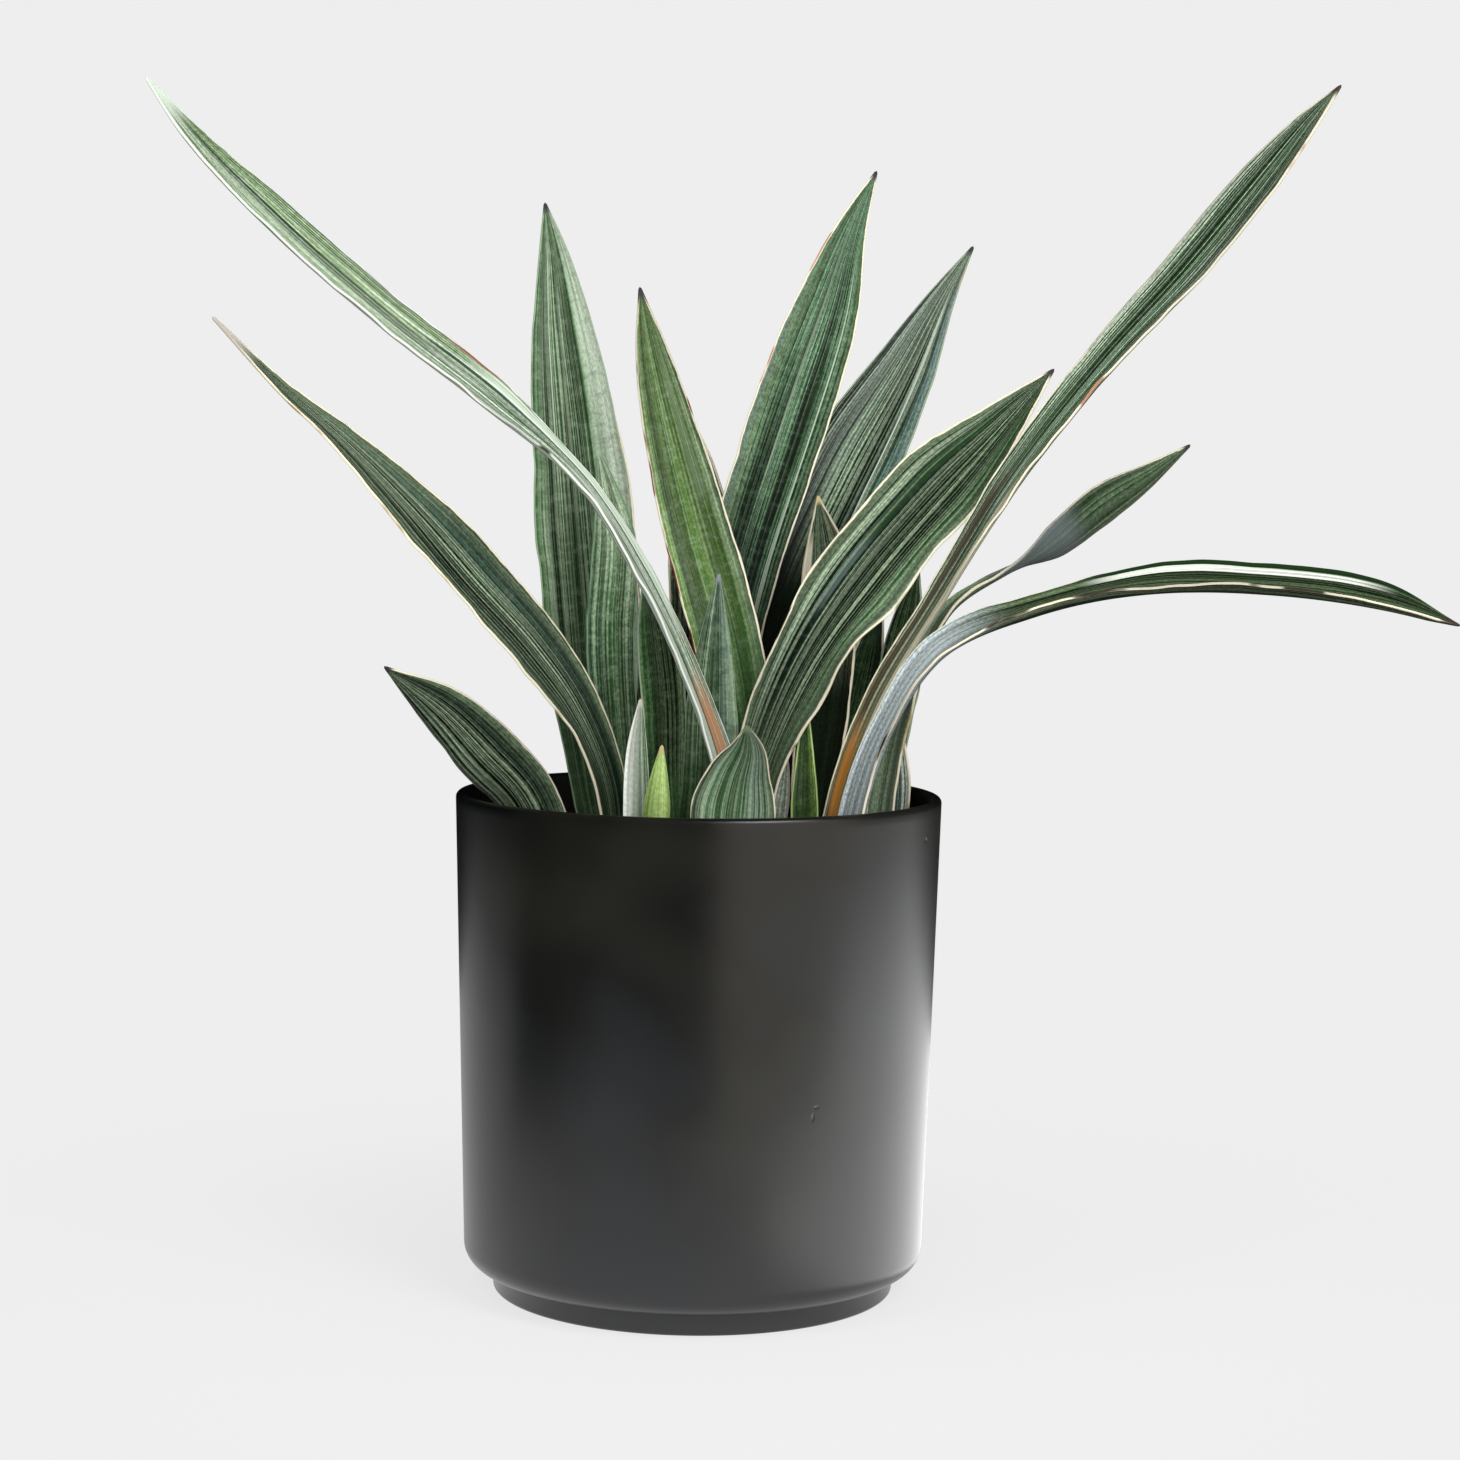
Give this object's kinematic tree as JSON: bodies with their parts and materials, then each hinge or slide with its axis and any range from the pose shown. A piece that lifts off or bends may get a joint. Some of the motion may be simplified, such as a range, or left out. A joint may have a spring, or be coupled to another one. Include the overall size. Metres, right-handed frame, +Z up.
{
  "type": "potted snake plant",
  "caption": "Snake plant with upright and arching striped blades edged in cream, rooted in potting mix in a dark tapered cylinder pot that stands on a recessed foot",
  "frame": {"origin": "middle of the pot's flat foot, on the surface that it stands on", "axes": "+Z up along the pot's axis; -Y is the plant's best side, with +X on its right"},
  "size_m": [0.4997, 0.2369, 0.4914],
  "materials": {
    "dark_glaze": "satin",
    "potting_mix": "matte",
    "leaf_silver": "satin",
    "leaf_grey_green": "satin",
    "leaf_blue_green": "satin",
    "leaf_green": "satin",
    "leaf_dark_green": "satin",
    "leaf_yellow_green": "satin",
    "leaf_cream": "satin"
  },
  "bodies": {
    "root": {"pot": "dark_glaze", "potting_mix": "potting_mix", "leaf_arching_left": "leaf_silver", "leaf_leaning_left": "leaf_grey_green", "leaf_short_left": "leaf_blue_green", "leaf_tall_left": "leaf_green", "leaf_inner_left": "leaf_green", "leaf_dark_left": "leaf_dark_green", "leaf_bright_centre": "leaf_yellow_green", "leaf_front_spear": "leaf_blue_green", "leaf_pale_sliver": "leaf_cream", "leaf_yellow_shoot": "leaf_yellow_green", "leaf_front_blunt": "leaf_grey_green", "leaf_grey_shoot": "leaf_silver", "leaf_green_shoot": "leaf_green", "leaf_broad_right": "leaf_dark_green", "leaf_tall_centre": "leaf_green", "leaf_blue_right": "leaf_blue_green", "leaf_wedge_right": "leaf_dark_green", "leaf_arching_right": "leaf_green", "leaf_drooping_right": "leaf_grey_green", "leaf_twisted_right": "leaf_dark_green", "leaf_striped_shoot": "leaf_grey_green", "leaf_dark_right": "leaf_dark_green", "leaf_back_left": "leaf_green", "leaf_back_centre": "leaf_dark_green", "leaf_back_right": "leaf_blue_green", "leaf_back_edge": "leaf_dark_green"}
  },
  "joints": []
}
